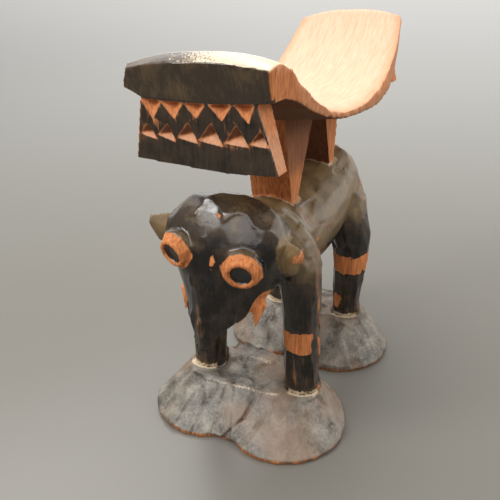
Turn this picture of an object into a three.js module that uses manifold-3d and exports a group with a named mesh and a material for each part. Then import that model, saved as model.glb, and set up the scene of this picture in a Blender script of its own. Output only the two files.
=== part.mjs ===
// A headrest carved from one block of wood: an elephant on four cone-shaped feet
// carries a saddle-curved pillow on two wedge-shaped posts.
// Millimetres, +Z up. The elephant looks along -Y and x = 0 is its middle plane. Its sides mirror
// each other, but the eyes differ in height, the pillow is rolled and has one corner trimmed off.
import * as THREE from 'three';
import { ConvexGeometry } from 'three/addons/geometries/ConvexGeometry.js';
import { mergeVertices } from 'three/addons/utils/BufferGeometryUtils.js';
import Module from 'manifold-3d';

const wasm = await Module();
wasm.setup();

// Driving dimensions. y is measured from halfway between the two pairs of feet.

// Both pairs of feet: two merged cones that carry the legs a little behind their middles.
// The profile gives shares of the ledge's height and of the cone's radius, from the sole up.
// The heel is the share by which a cone's radius grows straight behind its middle.
const feet = {
  pairs: [
    { y: -32.8, lobeSpacing: 35, lobeRadius: 25 },
    { y: 32.6, lobeSpacing: 33, lobeRadius: 24 },
  ],
  profile: [
    { rise: 0, share: 0.965 },
    { rise: 0.12, share: 1 },
    { rise: 0.4, share: 0.8 },
    { rise: 0.75, share: 0.58 },
    { rise: 1, share: 0.42 },
  ],
  ledgeHeight: 16.5,
  splay: 3,
  leanBack: 5.6,
  heel: 0.25,
  heelPower: 4,
  sides: 20,
};

// The web between two cones: in front it stays back from their rims, behind it reaches past them.
// The flat ledge on it lies behind the cones' middles and is deeper on -X than on +X.
const web = {
  frontInset: 5.3,
  frontRimInset: 4.5,
  backOutset: 2.5,
  rimZ: 2,
  ledgeMiddle: 9.4,
  ledgeHalf: 14,
  ledgeTaper: 1.9,
};

// Each pair of legs is one arch that runs up over the body and down again. Its stops go from the
// sole of the leg on +X to the top of the back.
const arches = {
  front: [
    { x: 22, y: -25, z: 4, radius: 7.2 },
    { x: 22, y: -25, z: 24, radius: 7.2 },
    { x: 21.2, y: -23.8, z: 48, radius: 7.5 },
    { x: 19.9, y: -22.9, z: 64, radius: 8.5 },
    { x: 16.5, y: -20.5, z: 74, radius: 9.6 },
    { x: 8.3, y: -19, z: 80, radius: 11 },
    { x: 0, y: -19, z: 84, radius: 11 },
  ],
  rear: [
    { x: 17.4, y: 40.2, z: 4, radius: 6.6 },
    { x: 17.4, y: 40.2, z: 24, radius: 6.6 },
    { x: 18.6, y: 41.8, z: 48, radius: 8.5 },
    { x: 16.3, y: 43, z: 64, radius: 9.5 },
    { x: 12.5, y: 46.2, z: 75, radius: 9.8 },
    { x: 6.2, y: 48.2, z: 83.3, radius: 11 },
    { x: 0, y: 48.2, z: 89.5, radius: 11 },
  ],
  sides: 14,
  rings: 30,
};

// Stations along the body: place, top and bottom of the section, and half its width.
const torso = {
  stations: [
    { y: -36, top: 88, bottom: 66, half: 12 },
    { y: -28, top: 91, bottom: 59, half: 17 },
    { y: -16, top: 92, bottom: 53, half: 20 },
    { y: -2, top: 91.5, bottom: 49.5, half: 20.8 },
    { y: 12, top: 92.5, bottom: 48.5, half: 21 },
    { y: 25, top: 94.5, bottom: 48.5, half: 20.6 },
    { y: 37, top: 97, bottom: 51, half: 19.6 },
    { y: 48, top: 100, bottom: 57, half: 18 },
    { y: 56, top: 98, bottom: 65, half: 15 },
    { y: 61.5, top: 91.5, bottom: 73, half: 8.5 },
  ],
  widestAt: 0.6,
  keel: 1.6,
  sides: 20,
};

// Levels of the head from the tip of the trunk up to the dome: the front, the back, the place
// of the greatest width, half that width, and how square the brow is (1 is a wedge, 2 is round).
const head = [
  { z: 53.5, front: -66, back: -63.5, wide: -65, half: 1.5, square: 1.3 },
  { z: 58, front: -66.2, back: -58, wide: -62, half: 5, square: 1.3 },
  { z: 61, front: -65.8, back: -45, wide: -57, half: 9, square: 1.3 },
  { z: 64.5, front: -65, back: -34, wide: -51, half: 13.8, square: 1.3 },
  { z: 70, front: -63.6, back: -28, wide: -47, half: 18, square: 1.32 },
  { z: 76, front: -62, back: -24, wide: -45.5, half: 21.2, square: 1.45 },
  { z: 83, front: -59.8, back: -22, wide: -45, half: 23.4, square: 1.9 },
  { z: 90, front: -57.8, back: -22, wide: -45, half: 24.2, square: 2.4 },
  { z: 96, front: -54.6, back: -27, wide: -44.6, half: 21.5, square: 2.4 },
  { z: 100.5, front: -51.5, back: -33, wide: -44.5, half: 16.5, square: 2.2 },
  { z: 103.8, front: -48, back: -38.5, wide: -44, half: 9, square: 2 },
];
const headSides = 24;

// The eye on +X was cut a little lower than the other one.
const eye = {
  x: 13,
  y: -56,
  z: 84.7,
  lower: 1.4,
  turn: 14,
  droop: 15,
  baseRadius: 7.8,
  rimRadius: 5.4,
  rootRadius: 6.6,
  proud: 4.2,
  root: 5,
  pupilRadius: 4.5,
  pupilBed: 3.9,
  pupilDepth: 1.4,
  sides: 10,
};

// Places of an ear from its root in the head to its blunt tip. The ear on +X was cut lower too.
const ear = {
  root: { x: 17, y: -41, topZ: 93.8, lowZ: 76.5 },
  tip: { x: 31.4, y: -47.5, topZ: 91.8, lowZ: 87 },
  lower: 1.3,
  thickness: 8,
  tipThickness: 2.4,
  slices: 6,
};

const tusk = {
  x: 15,
  root: { y: -46.5, z: 72.4 },
  tip: { y: -52.2, z: 57.6 },
  width: 6.6,
  depth: 4.6,
  widestAt: 0.4,
  sides: 8,
};

// Posts: wedges that narrow downwards along the length of the piece.
const posts = [
  { half: 9, topZ: 126, topFront: -14.5, topBack: 16.5, footZ: 86, footFront: -6.6, footBack: -2.6 },
  { half: 9, topZ: 125, topFront: 25.5, topBack: 43.5, footZ: 93, footFront: 34, footBack: 39 },
];

// Pillow: stations along its length, with the top at the middle, how far the edges of the top lie
// below it, the underside, half the width, and how far the underside is set back or forward.
const pillow = {
  stations: [
    { y: -60.4, top: 151.4, crown: 2.2, under: 139.8, half: 25.9, lean: 2.6 },
    { y: -57.6, top: 153.4, crown: 3, under: 139.9, half: 26.5, lean: 0.8 },
    { y: -54, top: 154, crown: 3.4, under: 140, half: 26.8, lean: 0 },
    { y: -48, top: 152.4, crown: 4.6, under: 139.2, half: 27, lean: 0 },
    { y: -40, top: 148.2, crown: 6.2, under: 136.2, half: 27.3, lean: 0 },
    { y: -30, top: 142.2, crown: 6.6, under: 131.8, half: 27.6, lean: 0 },
    { y: -19, top: 136, crown: 5.6, under: 127.6, half: 27.9, lean: 0 },
    { y: -6, top: 130.8, crown: 4.2, under: 124.2, half: 28.1, lean: 0 },
    { y: 8, top: 127.8, crown: 3, under: 122.4, half: 28.3, lean: 0 },
    { y: 22, top: 127, crown: 2.2, under: 121.2, half: 28.5, lean: 0 },
    { y: 36, top: 128.6, crown: 1.6, under: 120.9, half: 28.6, lean: 0 },
    { y: 49, top: 132.4, crown: 1.4, under: 122.1, half: 28.4, lean: 0 },
    { y: 61, top: 139.2, crown: 1.6, under: 125.6, half: 27.6, lean: 0 },
    { y: 71, top: 147.2, crown: 2.2, under: 132.8, half: 26.4, lean: 0 },
    { y: 76.5, top: 152.8, crown: 2.8, under: 138.2, half: 25.2, lean: -0.4 },
    { y: 79.6, top: 156, crown: 3.2, under: 139.6, half: 24.3, lean: -1.8 },
    { y: 80.6, top: 156.6, crown: 3.8, under: 140, half: 23.5, lean: -2.5 },
  ],
  crownPower: 2.6,
  underShare: 0.985,
  bottomCrown: 1.2,
  roll: 2,
  cornerCut: 3.4,
  cornerFlare: 1.1,
  cutRows: 3,
  steps: 10,
};

// Panels that hang under both ends of the pillow, each with a flat outer face at faceY and a
// lower edge that sags in the middle.
const panels = [
  {
    faceY: -57.3,
    outwards: -1,
    top: { z: 146, left: -21.7, right: 17.9, thick: 10.4 },
    bottom: { z: 118.3, left: -26.4, right: 27.2, thick: 6.6 },
    sag: { x: 9, drop: 1.3 },
    spread: 1,
    pits: true,
  },
  {
    faceY: 77.7,
    outwards: 1,
    top: { z: 142, left: -21, right: 21, thick: 8.4 },
    bottom: { z: 125.5, left: -25, right: 25, thick: 6.6 },
    sag: { x: 0, drop: 0.8 },
    spread: 0.86,
    pits: false,
  },
];

// Chip carving on the panels, each chip cut a little differently by hand: triangles that hang from
// a line behind the pillow's lower edge, and below them a row of pits with their points between.
const chips = {
  base: 141,
  bed: 138.4,
  depth: 3,
  proud: 0.6,
  triangles: [
    { left: -24.6, right: -13, tip: [-18.3, 132.5] },
    { left: -17.1, right: -4.8, tip: [-9.9, 133.2] },
    { left: -8.4, right: 3.8, tip: [-1.5, 134] },
    { left: 0.9, right: 12.9, tip: [7.8, 134.1] },
    { left: 10.6, right: 19.6, tip: [17.2, 134.1] },
  ],
  pits: [
    { peak: [-21.1, 130.6], left: [-23.8, 127.2], right: [-17, 125.7], bed: [-18.8, 127.6] },
    { peak: [-12.9, 131.4], left: [-16.6, 127.4], right: [-9.7, 125.5], bed: [-11.4, 127.7] },
    { peak: [-4.9, 132.4], left: [-9.2, 127.2], right: [-1.3, 125.9], bed: [-3, 129] },
    { peak: [3.7, 133], left: [-0.9, 127], right: [7.9, 125.9], bed: [5.7, 129.8] },
    { peak: [12.8, 133.2], left: [8.6, 127.1], right: [17.2, 126.6], bed: [14.4, 129.6] },
    { peak: [21.3, 132.2], left: [17.6, 127.6], right: [23.9, 127.1], bed: [22, 130] },
  ],
};

const up = new THREE.Vector3(0, 0, 1);

// Closes a stack of equal rings into one skin, each end with a fan around its middle.
function loft(rings) {
  const sides = rings[0].length;
  const points = rings.flat();
  const faces = [];
  for (let row = 0; row + 1 < rings.length; row++) {
    for (let i = 0; i < sides; i++) {
      const a = row * sides + i;
      const b = row * sides + (i + 1) % sides;
      faces.push(a, b, b + sides, a, b + sides, a + sides);
    }
  }
  for (const [ring, start] of [[rings[0], 0], [rings.at(-1), (rings.length - 1) * sides]]) {
    const middle = points.length;
    points.push(ring.reduce((sum, point) => sum.add(point), new THREE.Vector3()).divideScalar(sides));
    for (let i = 0; i < sides; i++) {
      const edge = [start + i, start + (i + 1) % sides];
      faces.push(middle, ...(start > 0 ? edge : edge.reverse()));
    }
  }
  const geometry = new THREE.BufferGeometry().setFromPoints(points);
  geometry.setIndex(faces);
  return geometry;
}

// Six times the volume inside a skin, negative when its faces point inwards.
function signedVolume(positions, triangles) {
  const [a, b, c] = [0, 1, 2].map(() => new THREE.Vector3());
  let sum = 0;
  for (let i = 0; i < triangles.length; i += 3) {
    a.fromArray(positions, triangles[i] * 3);
    b.fromArray(positions, triangles[i + 1] * 3);
    c.fromArray(positions, triangles[i + 2] * 3);
    sum += a.dot(b.cross(c));
  }
  return sum;
}

function solid(geometry) {
  const bare = geometry.clone();
  bare.deleteAttribute('normal');
  bare.deleteAttribute('uv');
  const merged = mergeVertices(bare, 1e-4);
  const vertProperties = new Float32Array(merged.attributes.position.array);
  const triVerts = new Uint32Array(merged.index.array);
  if (signedVolume(vertProperties, triVerts) < 0) {
    for (let i = 0; i < triVerts.length; i += 3) {
      [triVerts[i], triVerts[i + 1]] = [triVerts[i + 1], triVerts[i]];
    }
  }
  return new wasm.Manifold(new wasm.Mesh({ numProp: 3, vertProperties, triVerts }));
}

const hull = (points) => solid(new ConvexGeometry(points));

// The form's two halves or copies, one on each side of the middle plane.
function pair(form) {
  return form(1).add(form(-1));
}

function join(forms) {
  return forms.reduce((whole, form) => whole.add(form));
}

// A pair of feet: each cone leans back to its leg, and the web with a flat ledge joins the two.
function footPair({ y, lobeSpacing, lobeRadius }) {
  const cone = (side) => solid(loft(feet.profile.map(({ rise, share }) => {
    const centreX = side * (lobeSpacing / 2 + rise * feet.splay);
    const centreY = y + rise * feet.leanBack;
    return Array.from({ length: feet.sides }, (_, i) => {
      const angle = i / feet.sides * 2 * Math.PI;
      const behind = Math.max(Math.sin(angle), 0) ** feet.heelPower;
      const radius = share * lobeRadius * (1 + feet.heel * behind);
      return new THREE.Vector3(
        centreX + radius * Math.cos(angle),
        centreY + radius * Math.sin(angle),
        rise * feet.ledgeHeight,
      );
    });
  })));
  const between = [-1, 1].flatMap((side) => {
    const x = side * lobeSpacing / 2;
    const ledgeDepth = web.ledgeHalf - side * web.ledgeTaper;
    const back = y + lobeRadius + web.backOutset;
    return [
      new THREE.Vector3(x, y - lobeRadius + web.frontInset, 0),
      new THREE.Vector3(x, y - lobeRadius + web.frontRimInset, web.rimZ),
      new THREE.Vector3(x, y + web.ledgeMiddle - ledgeDepth, feet.ledgeHeight),
      new THREE.Vector3(x, y + web.ledgeMiddle + ledgeDepth, feet.ledgeHeight),
      new THREE.Vector3(x, back, web.rimZ),
      new THREE.Vector3(x, back, 0),
    ];
  });
  return pair(cone).add(hull(between));
}

// A pair of legs with the shoulders or haunches above them, swept along one arch.
function legArch(rising) {
  const falling = rising.slice(0, -1).reverse().map((stop) => ({ ...stop, x: -stop.x }));
  const stops = [...rising, ...falling];
  const places = stops.map(({ x, y, z }) => new THREE.Vector3(x, y, z));
  const route = new THREE.CatmullRomCurve3(places, false, 'centripetal');
  const sizes = new THREE.CatmullRomCurve3(stops.map(({ radius }, i) => new THREE.Vector3(i, radius, 0)));
  const along = new THREE.Vector3(0, 1, 0);
  const rings = Array.from({ length: arches.rings + 1 }, (_, row) => {
    const t = row / arches.rings;
    const centre = route.getPoint(t);
    const radius = sizes.getPoint(t).y;
    const outwards = along.clone().cross(route.getTangent(t)).normalize();
    const forwards = route.getTangent(t).cross(outwards).normalize();
    return Array.from({ length: arches.sides }, (_, i) => {
      const angle = i / arches.sides * 2 * Math.PI;
      return centre.clone()
        .addScaledVector(outwards, radius * Math.cos(angle))
        .addScaledVector(forwards, radius * Math.sin(angle));
    });
  });
  return solid(loft(rings));
}

// A superellipse: 1 is a diamond, 2 an ellipse, and more is squarer.
function bow(angle, square) {
  const across = Math.cos(angle);
  const along = Math.sin(angle);
  const size = (Math.abs(across) ** square + Math.abs(along) ** square) ** (1 / square);
  return [across / size, along / size];
}

// The body: round above, and narrowing to a keel along the belly.
function torsoForm() {
  return solid(loft(torso.stations.map(({ y, top, bottom, half }) => {
    const middle = THREE.MathUtils.lerp(bottom, top, torso.widestAt);
    return Array.from({ length: torso.sides }, (_, i) => {
      const angle = i / torso.sides * 2 * Math.PI;
      const above = Math.sin(angle) >= 0;
      const [across, lift] = bow(angle, above ? 2 : torso.keel);
      return new THREE.Vector3(half * across, y, middle + lift * (above ? top - middle : middle - bottom));
    });
  })));
}

// The head: a wedge-shaped trunk and face that grow into a square brow and a round dome.
function headForm() {
  return solid(loft(head.map(({ z, front, back, wide, half, square }) => (
    Array.from({ length: headSides }, (_, i) => {
      const angle = i / headSides * 2 * Math.PI;
      const ahead = Math.sin(angle) >= 0;
      const [across, forward] = bow(angle, ahead ? square : 2);
      return new THREE.Vector3(half * across, wide - forward * (ahead ? wide - front : back - wide), z);
    })
  ))));
}

function eyeFrame(side) {
  const turn = THREE.MathUtils.degToRad(eye.turn) * side;
  const droop = THREE.MathUtils.degToRad(eye.droop);
  const axis = new THREE.Vector3(
    Math.sin(turn) * Math.cos(droop), -Math.cos(turn) * Math.cos(droop), -Math.sin(droop));
  const across = axis.clone().cross(up).normalize();
  const rise = across.clone().cross(axis).normalize();
  return new THREE.Matrix4()
    .makeBasis(across, rise, axis)
    .setPosition(side * eye.x, eye.y, eye.z - side * eye.lower);
}

// An eye: a blunt cone that stands out of the face and carries the pupil at its end.
function eyeCone(side) {
  const cone = new THREE.CylinderGeometry(eye.rimRadius, eye.baseRadius, eye.proud, eye.sides);
  const stem = new THREE.CylinderGeometry(eye.baseRadius, eye.rootRadius, eye.root, eye.sides);
  cone.rotateX(Math.PI / 2).translate(0, 0, eye.proud / 2);
  stem.rotateX(Math.PI / 2).translate(0, 0, -eye.root / 2);
  const frame = eyeFrame(side);
  return solid(cone.applyMatrix4(frame)).add(solid(stem.applyMatrix4(frame)));
}

function pupilSocket(side) {
  const socket = new THREE.CylinderGeometry(eye.pupilRadius, eye.pupilBed, eye.pupilDepth * 2, eye.sides);
  socket.rotateX(Math.PI / 2).translate(0, 0, eye.proud);
  return solid(socket.applyMatrix4(eyeFrame(side)));
}

// An ear: a flap that stands out sideways, level along its top and round below, with a pointed tip.
function earForm(side) {
  const { root, tip } = ear;
  const points = Array.from({ length: ear.slices + 1 }, (_, i) => {
    const t = i / ear.slices;
    const x = side * THREE.MathUtils.lerp(root.x, tip.x, t);
    const y = THREE.MathUtils.lerp(root.y, tip.y, t);
    const top = THREE.MathUtils.lerp(root.topZ, tip.topZ, t) - side * ear.lower;
    const low = tip.lowZ - (tip.lowZ - root.lowZ) * Math.sqrt(1 - t ** 2) - side * ear.lower;
    const half = THREE.MathUtils.lerp(ear.thickness, ear.tipThickness, t) / 2;
    return [
      new THREE.Vector3(x, y, top),
      new THREE.Vector3(x, y, low),
      new THREE.Vector3(x, y - half, (top + low) / 2),
      new THREE.Vector3(x, y + half, (top + low) / 2),
    ];
  });
  return hull(points.flat());
}

// A tusk: a leaf that is pointed at both ends.
function tuskForm(side) {
  const { root, tip } = tusk;
  const middleY = THREE.MathUtils.lerp(root.y, tip.y, tusk.widestAt);
  const middleZ = THREE.MathUtils.lerp(root.z, tip.z, tusk.widestAt);
  const points = [root, tip].map(({ y, z }) => new THREE.Vector3(side * tusk.x, y, z));
  for (let i = 0; i < tusk.sides; i++) {
    const angle = i / tusk.sides * 2 * Math.PI;
    const x = side * tusk.x + Math.cos(angle) * tusk.width / 2;
    points.push(new THREE.Vector3(x, middleY + Math.sin(angle) * tusk.depth / 2, middleZ));
  }
  return hull(points);
}

function postForm(post) {
  return hull([-post.half, post.half].flatMap((x) => [
    new THREE.Vector3(x, post.topFront, post.topZ),
    new THREE.Vector3(x, post.topBack, post.topZ),
    new THREE.Vector3(x, post.footFront, post.footZ),
    new THREE.Vector3(x, post.footBack, post.footZ),
  ]));
}

// The pillow: crowned across on top, nearly flat below, one lower corner of the near end cut off.
function pillowForm() {
  const roll = Math.tan(THREE.MathUtils.degToRad(pillow.roll));
  return solid(loft(pillow.stations.map(({ y, top, crown, under, half, lean }, row) => {
    const place = (across, width, z) => {
      const rolled = z + roll * width * across;
      return new THREE.Vector3(width * across, y + lean * (top - rolled) / (top - under), rolled);
    };
    const shares = Array.from({ length: pillow.steps + 1 }, (_, i) => 1 - 2 * i / pillow.steps);
    const over = shares.map((share) => (
      place(share, half, top - crown * Math.abs(share) ** pillow.crownPower)
    ));
    const below = shares.map((share, i) => {
      const trimmed = i === 0 && row < pillow.cutRows;
      const width = half * (trimmed ? pillow.cornerFlare : pillow.underShare);
      const cut = trimmed ? pillow.cornerCut : 0;
      return place(-share, width, under + cut - pillow.bottomCrown * (1 - share ** 2));
    });
    return [...over, ...below];
  })));
}

function panelForm({ faceY, outwards, top, bottom, sag }) {
  const corners = [
    [top.left, top.z, top.thick],
    [top.right, top.z, top.thick],
    [bottom.left, bottom.z, bottom.thick],
    [bottom.right, bottom.z, bottom.thick],
    [sag.x, bottom.z - sag.drop, bottom.thick],
  ];
  return hull(corners.flatMap(([x, z, thick]) => [
    new THREE.Vector3(x, faceY, z),
    new THREE.Vector3(x, faceY - outwards * thick, z),
  ]));
}

// One chip: three corners a little proud of the face and one deepest point behind it.
function chip({ faceY, outwards, spread }, corners, bed) {
  const at = ([x, z], inwards) => new THREE.Vector3(x * spread, faceY - outwards * inwards, z);
  return hull([
    ...corners.map((corner) => at(corner, -chips.proud)),
    ...corners.map((corner) => at(corner, 0)),
    at(bed, chips.depth),
  ]);
}

function chipCarving(panel) {
  const hanging = chips.triangles.map(({ left, right, tip }) => (
    chip(panel, [[left, chips.base], [right, chips.base], tip], [(left + right) / 2, chips.bed])
  ));
  const pits = panel.pits ? chips.pits.map(({ peak, left, right, bed }) => (
    chip(panel, [peak, left, right], bed)
  )) : [];
  return join([...hanging, ...pits]);
}

function carve() {
  const support = join([
    ...feet.pairs.map(footPair),
    legArch(arches.front),
    legArch(arches.rear),
    torsoForm(),
    headForm(),
    pair(eyeCone),
    pair(earForm),
    pair(tuskForm),
  ]).subtract(pair(pupilSocket));
  const rest = join([
    ...posts.map(postForm),
    pillowForm(),
    ...panels.map((panel) => panelForm(panel).subtract(chipCarving(panel))),
  ]);
  return support.add(rest);
}

// The finished skin, moved so that its box stands on z = 0 with its middle over the origin.
function skin(form) {
  const { vertProperties, triVerts } = form.getMesh();
  const geometry = new THREE.BufferGeometry();
  geometry.setAttribute('position', new THREE.BufferAttribute(vertProperties, 3));
  geometry.setIndex(new THREE.BufferAttribute(triVerts, 1));
  geometry.computeBoundingBox();
  const box = geometry.boundingBox;
  geometry.translate(-(box.min.x + box.max.x) / 2, -(box.min.y + box.max.y) / 2, -box.min.z);
  geometry.computeVertexNormals();
  return geometry;
}

const stainedWood = new THREE.MeshStandardMaterial({ color: 0x3a322c, roughness: 0.45, metalness: 0 });

const headrest = new THREE.Mesh(skin(carve()), stainedWood);
headrest.name = 'carved_headrest';

const piece = new THREE.Group();
piece.add(headrest);

export default piece;
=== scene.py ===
"""Looks of the carved headrest: the knife-cut surface, the black stain, the bare wood and the stage."""

import math

import bpy
import numpy as np
from mathutils import Matrix, Vector


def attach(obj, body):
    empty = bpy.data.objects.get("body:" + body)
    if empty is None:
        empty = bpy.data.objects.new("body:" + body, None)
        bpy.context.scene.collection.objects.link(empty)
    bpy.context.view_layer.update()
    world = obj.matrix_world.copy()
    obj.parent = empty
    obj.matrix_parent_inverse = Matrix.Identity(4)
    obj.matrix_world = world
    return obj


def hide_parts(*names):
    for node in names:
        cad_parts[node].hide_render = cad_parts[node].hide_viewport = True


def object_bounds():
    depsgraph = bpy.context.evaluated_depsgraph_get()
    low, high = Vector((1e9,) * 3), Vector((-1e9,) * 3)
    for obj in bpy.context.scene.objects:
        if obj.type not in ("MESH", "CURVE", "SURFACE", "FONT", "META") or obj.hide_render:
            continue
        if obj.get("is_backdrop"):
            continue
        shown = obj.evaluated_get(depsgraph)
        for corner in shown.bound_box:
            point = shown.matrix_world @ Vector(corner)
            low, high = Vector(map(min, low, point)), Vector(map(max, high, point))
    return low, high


MM = 0.001
SKIN_STEP = 0.5 * MM
TRIANGLES = 192000
BOX_GAP = 0.02
rng = np.random.default_rng(41)


# Small helpers

def deselect():
    for each in bpy.context.selected_objects:
        each.select_set(False)


def pick(piece):
    """Makes one piece the only selected and the active object."""
    deselect()
    piece.select_set(True)
    bpy.context.view_layer.objects.active = piece


def finish_modifier(piece, kind, **settings):
    """Adds a modifier with its settings and applies it."""
    pick(piece)
    modifier = piece.modifiers.new(kind.lower(), kind)
    for name, value in settings.items():
        setattr(modifier, name, value)
    bpy.ops.object.modifier_apply(modifier=modifier.name)


def points_of(mesh):
    """The vertices in millimetres."""
    co = np.empty(len(mesh.vertices) * 3, np.float32)
    mesh.vertices.foreach_get("co", co)
    return co.reshape(-1, 3).astype(float) / MM


def put_points(mesh, points):
    mesh.vertices.foreach_set("co", (points * MM).astype(np.float32).ravel())
    mesh.update()


def normals_of(mesh):
    normals = np.empty(len(mesh.vertices) * 3, np.float32)
    mesh.vertex_normals.foreach_get("vector", normals)
    return normals.reshape(-1, 3).astype(float)


def edges_of(mesh):
    ends = np.empty(len(mesh.edges) * 2, np.int32)
    mesh.edges.foreach_get("vertices", ends)
    return ends.reshape(-1, 2)


def unit(vectors):
    return vectors / np.maximum(np.linalg.norm(vectors, axis=-1, keepdims=True), 1e-9)


def ramp(values, low, high):
    """0 below low, 1 above high, and a smooth slope between them."""
    t = np.clip((values - low) / (high - low), 0, 1)
    return t * t * (3 - 2 * t)


def curve(at, stations, values):
    """A smooth curve through a row of stations."""
    stations, values = np.array(stations, float), np.array(values, float)
    slopes = np.gradient(values, stations)
    row = np.clip(np.searchsorted(stations, at) - 1, 0, len(stations) - 2)
    width = stations[row + 1] - stations[row]
    t = np.clip((at - stations[row]) / width, 0, 1)
    start = (2 * t ** 3 - 3 * t ** 2 + 1) * values[row] + (t ** 3 - 2 * t ** 2 + t) * width * slopes[row]
    end = (3 * t ** 2 - 2 * t ** 3) * values[row + 1] + (t ** 3 - t ** 2) * width * slopes[row + 1]
    return start + end


def neighbour_mean(values, ends, count):
    """The mean of each vertex's neighbours."""
    total = np.stack([
        np.bincount(ends[:, 0], values[ends[:, 1], k], count)
        + np.bincount(ends[:, 1], values[ends[:, 0], k], count)
        for k in range(values.shape[1])
    ], -1)
    near = np.bincount(ends.ravel(), minlength=count)[:, None]
    return total / np.maximum(near, 1)


def relax(points, ends, weight, rounds):
    """Smooths without shrinking: each round pulls in and then pushes back out a little more."""
    for _ in range(rounds):
        for pull in (0.55, -0.57):
            points = points + pull * weight * (neighbour_mean(points, ends, len(points)) - points)
    return points


def to_segment(p, a, b):
    a, b = np.array(a, float), np.array(b, float)
    t = np.clip(((p - a) @ (b - a)) / ((b - a) @ (b - a)), 0, 1)
    return np.linalg.norm(p - a - t[:, None] * (b - a), axis=1)


def to_path(p, path):
    return np.minimum.reduce([to_segment(p, a, b) for a, b in zip(path, path[1:])])


def mirrored(p):
    """The points, with those on -X laid over to +X."""
    return np.column_stack([np.abs(p[:, 0]), p[:, 1:]])


# Places on the piece, in millimetres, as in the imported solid

# The pillow's stations from its near end to its far end: the height of its top and of its underside
# on the middle line, how far the top falls to its edges, and half its width.
SADDLE_Y = [-67.6, -64.8, -61.2, -55.2, -47.2, -37.2, -26.2, -13.2, 0.8, 14.8, 28.8, 41.8, 53.8, 63.8, 69.3,
            72.4, 73.4]
SADDLE_TOP = [151.4, 153.4, 154, 152.4, 148.2, 142.2, 136, 130.8, 127.8, 127, 128.6, 132.4, 139.2, 147.2,
              152.8, 156, 156.6]
SADDLE_UNDER = [139.8, 139.9, 140, 139.2, 136.2, 131.8, 127.6, 124.2, 122.4, 121.2, 120.9, 122.1, 125.6,
                132.8, 138.2, 139.6, 140]
SADDLE_CROWN = [2.2, 3, 3.4, 4.6, 6.2, 6.6, 5.6, 4.2, 3, 2.2, 1.6, 1.4, 1.6, 2.2, 2.8, 3.2, 3.8]
SADDLE_HALF = [25.9, 26.5, 26.8, 27, 27.3, 27.6, 27.9, 28.1, 28.3, 28.5, 28.6, 28.4, 27.6, 26.4, 25.2, 24.3,
               23.5]
CROWN_POWER = 2.6
CROWN_STEP = 0.2
UNDER_CROWN = 1.2
ROLL = math.tan(math.radians(2))
NEAR_FACE = -64.5
FAR_FACE = 70.5
EYES = {1: (13, -63.2, 83.3), -1: (-13, -63.2, 86.1)}
EYE_TURN, EYE_DROOP, EYE_PROUD = 14, 15, 4.2
EYE_BASE, EYE_RIM, PUPIL = 7.8, 5.4, 4.3
LEGS = {
    "front": [(22, -32.2, 4), (22, -32.2, 24), (21.2, -31, 48), (19.9, -30.1, 64), (16.5, -27.7, 74)],
    "rear": [(17.4, 33, 4), (17.4, 33, 24), (18.6, 34.6, 48), (16.3, 35.8, 64), (12.5, 39, 75)],
}
LEG_RADIUS = {"front": 7.2, "rear": 6.6}
EAR = {1: [(17, -48.2, 83.8), (31.4, -54.7, 88.1)], -1: [(-17, -48.2, 86.4), (-31.4, -54.7, 90.7)]}
TUSK = [(15, -53.7, 72.4), (15, -59.4, 57.6)]
LEDGE_Z = 16.5
CHIPS = [
    [(-24.6, 141), (-13, 141), (-18.3, 132.5)],
    [(-17.1, 141), (-4.8, 141), (-9.9, 133.2)],
    [(-8.4, 141), (3.8, 141), (-1.5, 134)],
    [(0.9, 141), (12.9, 141), (7.8, 134.1)],
    [(10.6, 141), (19.6, 141), (17.2, 134.1)],
    [(-21.1, 130.6), (-23.8, 127.2), (-17, 125.7)],
    [(-12.9, 131.4), (-16.6, 127.4), (-9.7, 125.5)],
    [(-4.9, 132.4), (-9.2, 127.2), (-1.3, 125.9)],
    [(3.7, 133), (-0.9, 127), (7.9, 125.9)],
    [(12.8, 133.2), (8.6, 127.1), (17.2, 126.6)],
    [(21.3, 132.2), (17.6, 127.6), (23.9, 127.1)],
]
UPPER_CHIPS, LOWER_CHIPS = CHIPS[:5], CHIPS[5:]
FAR_SPREAD = 0.86

# How softly two knife cuts meet, in square millimetres.
RIDGE = 3.0

# The split down the front foot, from the ledge to the floor.
CRACK = [(7.6, -44.4, 16.8), (5.3, -53.4, 8.5), (1, -58.7, 3.7), (-1.2, -60.6, 1)]

# Lines where the stain is rubbed, each with how much of it is gone.
WORN = [
    (1, [(12.1, -13, 88.5), (16.6, -15.3, 84.9), (19.6, -15.9, 79.6), (19.3, -9.1, 68.6)]),
    (0.85, [(13.9, -17, 87.2), (17.8, -18, 83.1), (22.9, -24.9, 80.3), (25.7, -28.5, 76.1),
            (27.6, -30.6, 68.9), (28.4, -31.5, 58.6), (28.8, -32, 45.4), (29, -32.2, 18)]),
    (0.9, [(-29.2, -31.6, 18), (-29, -31.2, 48), (-27.4, -29.6, 62), (-23.6, -24.5, 74)]),
    (0.8, [(-2.4, -67, 72), (-1.4, -71, 66), (0.6, -72.8, 60)]),
    (0.9, [(12.4, 47.9, 92.6), (17.4, 41.5, 85.7), (21.4, 36.8, 77.9)]),
    (0.8, [(21.4, 36.8, 77.9), (23.8, 35.6, 60), (25, 35, 46), (24, 33.6, 20)]),
    (0.8, [(19.2, -12.8, 80.9), (20.2, -2.2, 78.3), (20.3, 16.9, 77.8), (19.7, 23.5, 79.7)]),
    (0.8, [(-19.2, -12.8, 80.9), (-20.2, -2.2, 78.3), (-20.3, 16.9, 77.8), (-19.7, 23.5, 79.7)]),
    (0.9, [(25.4, -54.5, 84.2), (29.6, -55.2, 87.4), (31, -55.4, 89)]),
    (0.9, [(8, -33, 16), (26, -47, 9), (31, -50, 3)]),
]


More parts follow.
